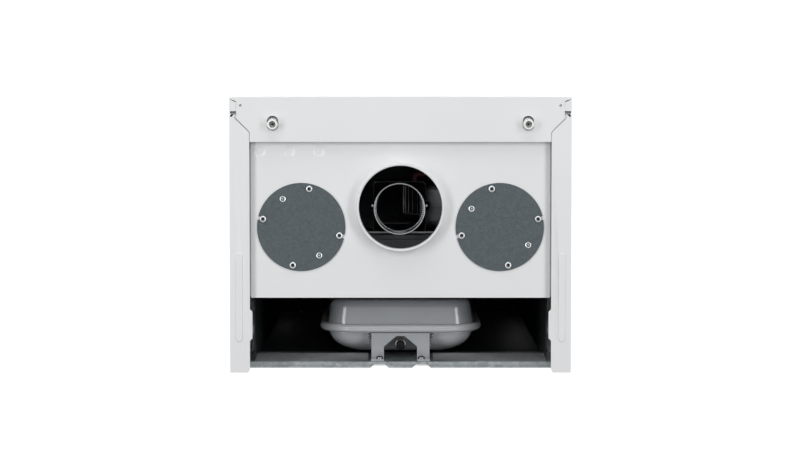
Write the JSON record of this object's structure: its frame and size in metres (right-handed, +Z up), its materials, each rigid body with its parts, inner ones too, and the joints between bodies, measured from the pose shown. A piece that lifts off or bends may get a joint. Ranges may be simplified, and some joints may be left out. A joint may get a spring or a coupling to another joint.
{
  "type": "wall-hung gas boiler",
  "caption": "Wall-hung gas boiler with a white sheet casing, fan-assisted sealed chamber, concentric flue outlet on top, rear expansion vessel and tilting control box.",
  "frame": {"origin": "middle of the hanging rail's top edge, on the wall plane", "axes": "+X to the right seen from the front, +Y into the wall, +Z up"},
  "size_m": [0.41, 0.331, 0.81],
  "materials": {
    "white_enamel": "satin",
    "zinc_sheet": "spangled",
    "flue_steel": "stained",
    "dark_zinc_sheet": "mottled",
    "steel": "bright",
    "white_nylon": "moulded",
    "vessel_paint": "gloss",
    "copper": "drawn",
    "brass": "machined",
    "ceramic_fibre": "matt",
    "ceramic": "glazed",
    "cast_aluminium": "cast",
    "cast_iron": "cast",
    "black_plastic": "moulded",
    "red_silicone": "matt",
    "red_plastic": "moulded",
    "yellow_plastic": "moulded",
    "black_rubber": "matt",
    "pale_plastic": "moulded",
    "dial_white": "printed",
    "circuit_green": "laminate"
  },
  "bodies": {
    "root": {"air_vent": "brass", "back_frame": "dark_zinc_sheet", "blanking_plates": "dark_zinc_sheet", "blanking_screws": "steel", "burner": "steel", "casing_pins": "white_nylon", "chamber_box": "white_enamel", "chamber_cover": "white_enamel", "combustion_chamber": "zinc_sheet", "diverter_actuator": "black_plastic", "electrodes": "ceramic", "fan_motor": "black_plastic", "fan_scroll_front": "flue_steel", "fan_scroll_rear": "flue_steel", "flow_block": "brass", "flow_pipe": "copper", "flue_collar": "white_enamel", "flue_hood": "flue_steel", "flue_spigot": "steel", "gas_cock": "brass", "gas_manifold": "brass", "gas_pipe": "zinc_sheet", "gas_valve": "cast_aluminium", "hanging_rail": "zinc_sheet", "heat_exchanger": "copper", "housing_screws": "steel", "insulation_boards": "ceramic_fibre", "left_side_panel": "white_enamel", "plate_exchanger": "steel", "pressure_hose": "red_silicone", "pressure_switch": "black_plastic", "pump_body": "cast_iron", "pump_motor": "black_plastic", "return_block": "brass", "return_pipe": "copper", "right_side_panel": "white_enamel", "safety_valve": "brass", "vessel_bracket": "vessel_paint", "vessel_diaphragm": "black_rubber", "vessel_front_half": "vessel_paint", "vessel_hose": "steel", "vessel_rear_half": "vessel_paint", "vessel_valve": "steel", "vessel_valve_cap": "black_rubber", "water_connections": "brass"},
    "casing": {"front_casing": "white_enamel"},
    "fan": {"fan_wheel": "flue_steel"},
    "pump": {"pump_rotor": "steel"},
    "diverter": {"diverter_stem": "steel"},
    "safety_turn": {"safety_knob": "red_plastic"},
    "filling_turn": {"filling_knob": "black_plastic"},
    "gas_turn": {"gas_lever": "yellow_plastic"},
    "control_unit": {"control_box": "black_plastic", "fascia": "pale_plastic", "circuit_board": "circuit_green", "pressure_gauge": "dial_white"},
    "needle": {"gauge_needle": "steel"},
    "heating_control": {"heating_knob": "pale_plastic"},
    "water_control": {"water_knob": "pale_plastic"},
    "button": {"power_button": "pale_plastic"}
  },
  "joints": [
    {"name": "casing_lift", "type": "slide", "parent": "root", "child": "casing", "axis": [0, 0, 1], "range_m": [0, 0.66]},
    {"name": "fan_spin", "type": "hinge", "parent": "root", "child": "fan", "pos_m": [-0.0525, -0.204, -0.06], "axis": [0, -1, 0], "continuous": true},
    {"name": "pump_spin", "type": "hinge", "parent": "root", "child": "pump", "pos_m": [0.148, -0.18, -0.535], "axis": [0, -1, 0], "continuous": true},
    {"name": "diverter_travel", "type": "slide", "parent": "root", "child": "diverter", "axis": [0, 1, 0], "range_m": [0, 0.008]},
    {"name": "safety_turn", "type": "hinge", "parent": "root", "child": "safety_turn", "pos_m": [0.112, -0.19, -0.634], "axis": [0, -1, 0], "range_deg": [0, 90]},
    {"name": "filling_tap_turn", "type": "hinge", "parent": "root", "child": "filling_turn", "pos_m": [0.065, -0.164, -0.709], "axis": [0, 0, 1], "range_deg": [0, 270]},
    {"name": "gas_lever_turn", "type": "hinge", "parent": "root", "child": "gas_turn", "pos_m": [0, -0.133, -0.714], "axis": [0, 1, 0], "range_deg": [0, 90]},
    {"name": "control_tilt", "type": "hinge", "parent": "root", "child": "control_unit", "pos_m": [0, -0.2385, -0.683], "axis": [1, 0, 0], "range_deg": [0, 90]},
    {"name": "gauge_needle_turn", "type": "hinge", "parent": "control_unit", "child": "needle", "pos_m": [0.06, -0.314, -0.642], "axis": [0, 1, 0], "range_deg": [0, 270]},
    {"name": "heating_knob_turn", "type": "hinge", "parent": "control_unit", "child": "heating_control", "pos_m": [-0.11, -0.314, -0.642], "axis": [0, 1, 0], "range_deg": [0, 270]},
    {"name": "water_knob_turn", "type": "hinge", "parent": "control_unit", "child": "water_control", "pos_m": [-0.05, -0.314, -0.642], "axis": [0, 1, 0], "range_deg": [0, 270]},
    {"name": "power_button_press", "type": "slide", "parent": "control_unit", "child": "button", "axis": [0, 1, 0], "range_m": [0, 0.0025], "stiffness_N_per_m": 400}
  ]
}
